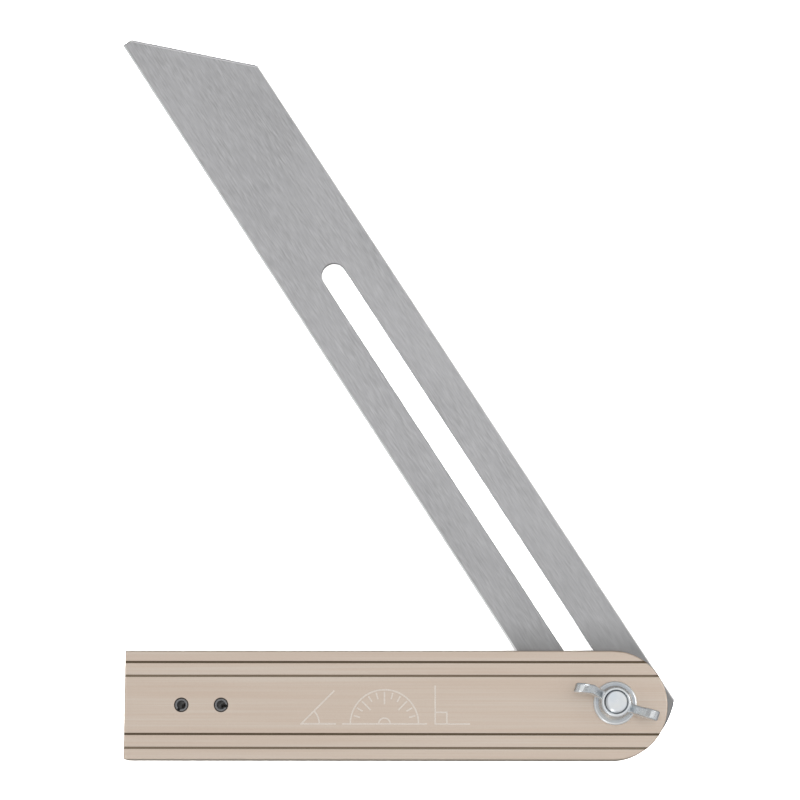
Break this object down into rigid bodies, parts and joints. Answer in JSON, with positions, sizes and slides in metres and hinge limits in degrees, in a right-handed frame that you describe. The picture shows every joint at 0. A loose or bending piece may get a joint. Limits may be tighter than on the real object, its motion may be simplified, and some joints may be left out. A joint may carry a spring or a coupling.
{
  "type": "sliding bevel",
  "caption": "Sliding T-bevel: a slotted steel blade with a 45 degree end, clamped at any angle between the two grooved aluminium cheeks of its stock by a bolt and wing nut.",
  "frame": {"origin": "centre of the stock's rear face, the face the tool lies on", "axes": "+X along the stock to its round pivot end, +Y to the side the blade stands out of, +Z out of the front face, where the wing nut is"},
  "size_m": [0.1569, 0.2074, 0.024],
  "materials": {
    "anodised_aluminium": "champagne anodised extrusion",
    "spring_steel": "oiled dark spring steel",
    "blade_steel": "satin brushed stainless steel",
    "zinc_plate": "bright zinc plated"
  },
  "bodies": {
    "stock": {"front_cheek": "anodised_aluminium", "rear_cheek": "anodised_aluminium", "butt_spacer": "anodised_aluminium", "spring_pin_outer": "spring_steel", "spring_pin_inner": "spring_steel"},
    "bolt": {"clamp_bolt": "zinc_plate"},
    "blade": {"blade": "blade_steel"},
    "washer": {"washer": "zinc_plate"},
    "wing_nut": {"wing_nut": "zinc_plate"}
  },
  "joints": [
    {"name": "blade_swing", "type": "hinge", "parent": "stock", "child": "bolt", "pos_m": [0.0605, 0.0005, 0.006], "axis": [0, 0, 1], "range_deg": [-105, 40]},
    {"name": "blade_slide", "type": "slide", "parent": "bolt", "child": "blade", "axis": [0.5417, -0.8406, 0], "range_m": [0, 0.142]},
    {"name": "nut_lift", "type": "slide", "parent": "bolt", "child": "washer", "axis": [0, 0, 1], "range_m": [0, 0.002]},
    {"name": "nut_spin", "type": "hinge", "parent": "washer", "child": "wing_nut", "pos_m": [0.0605, 0.0005, 0.0136], "axis": [0, 0, 1], "range_deg": [0, 720]}
  ],
  "couplings": [
    {"joint": "nut_lift", "follows": "nut_spin", "m_per_rad": 0.000159}
  ]
}
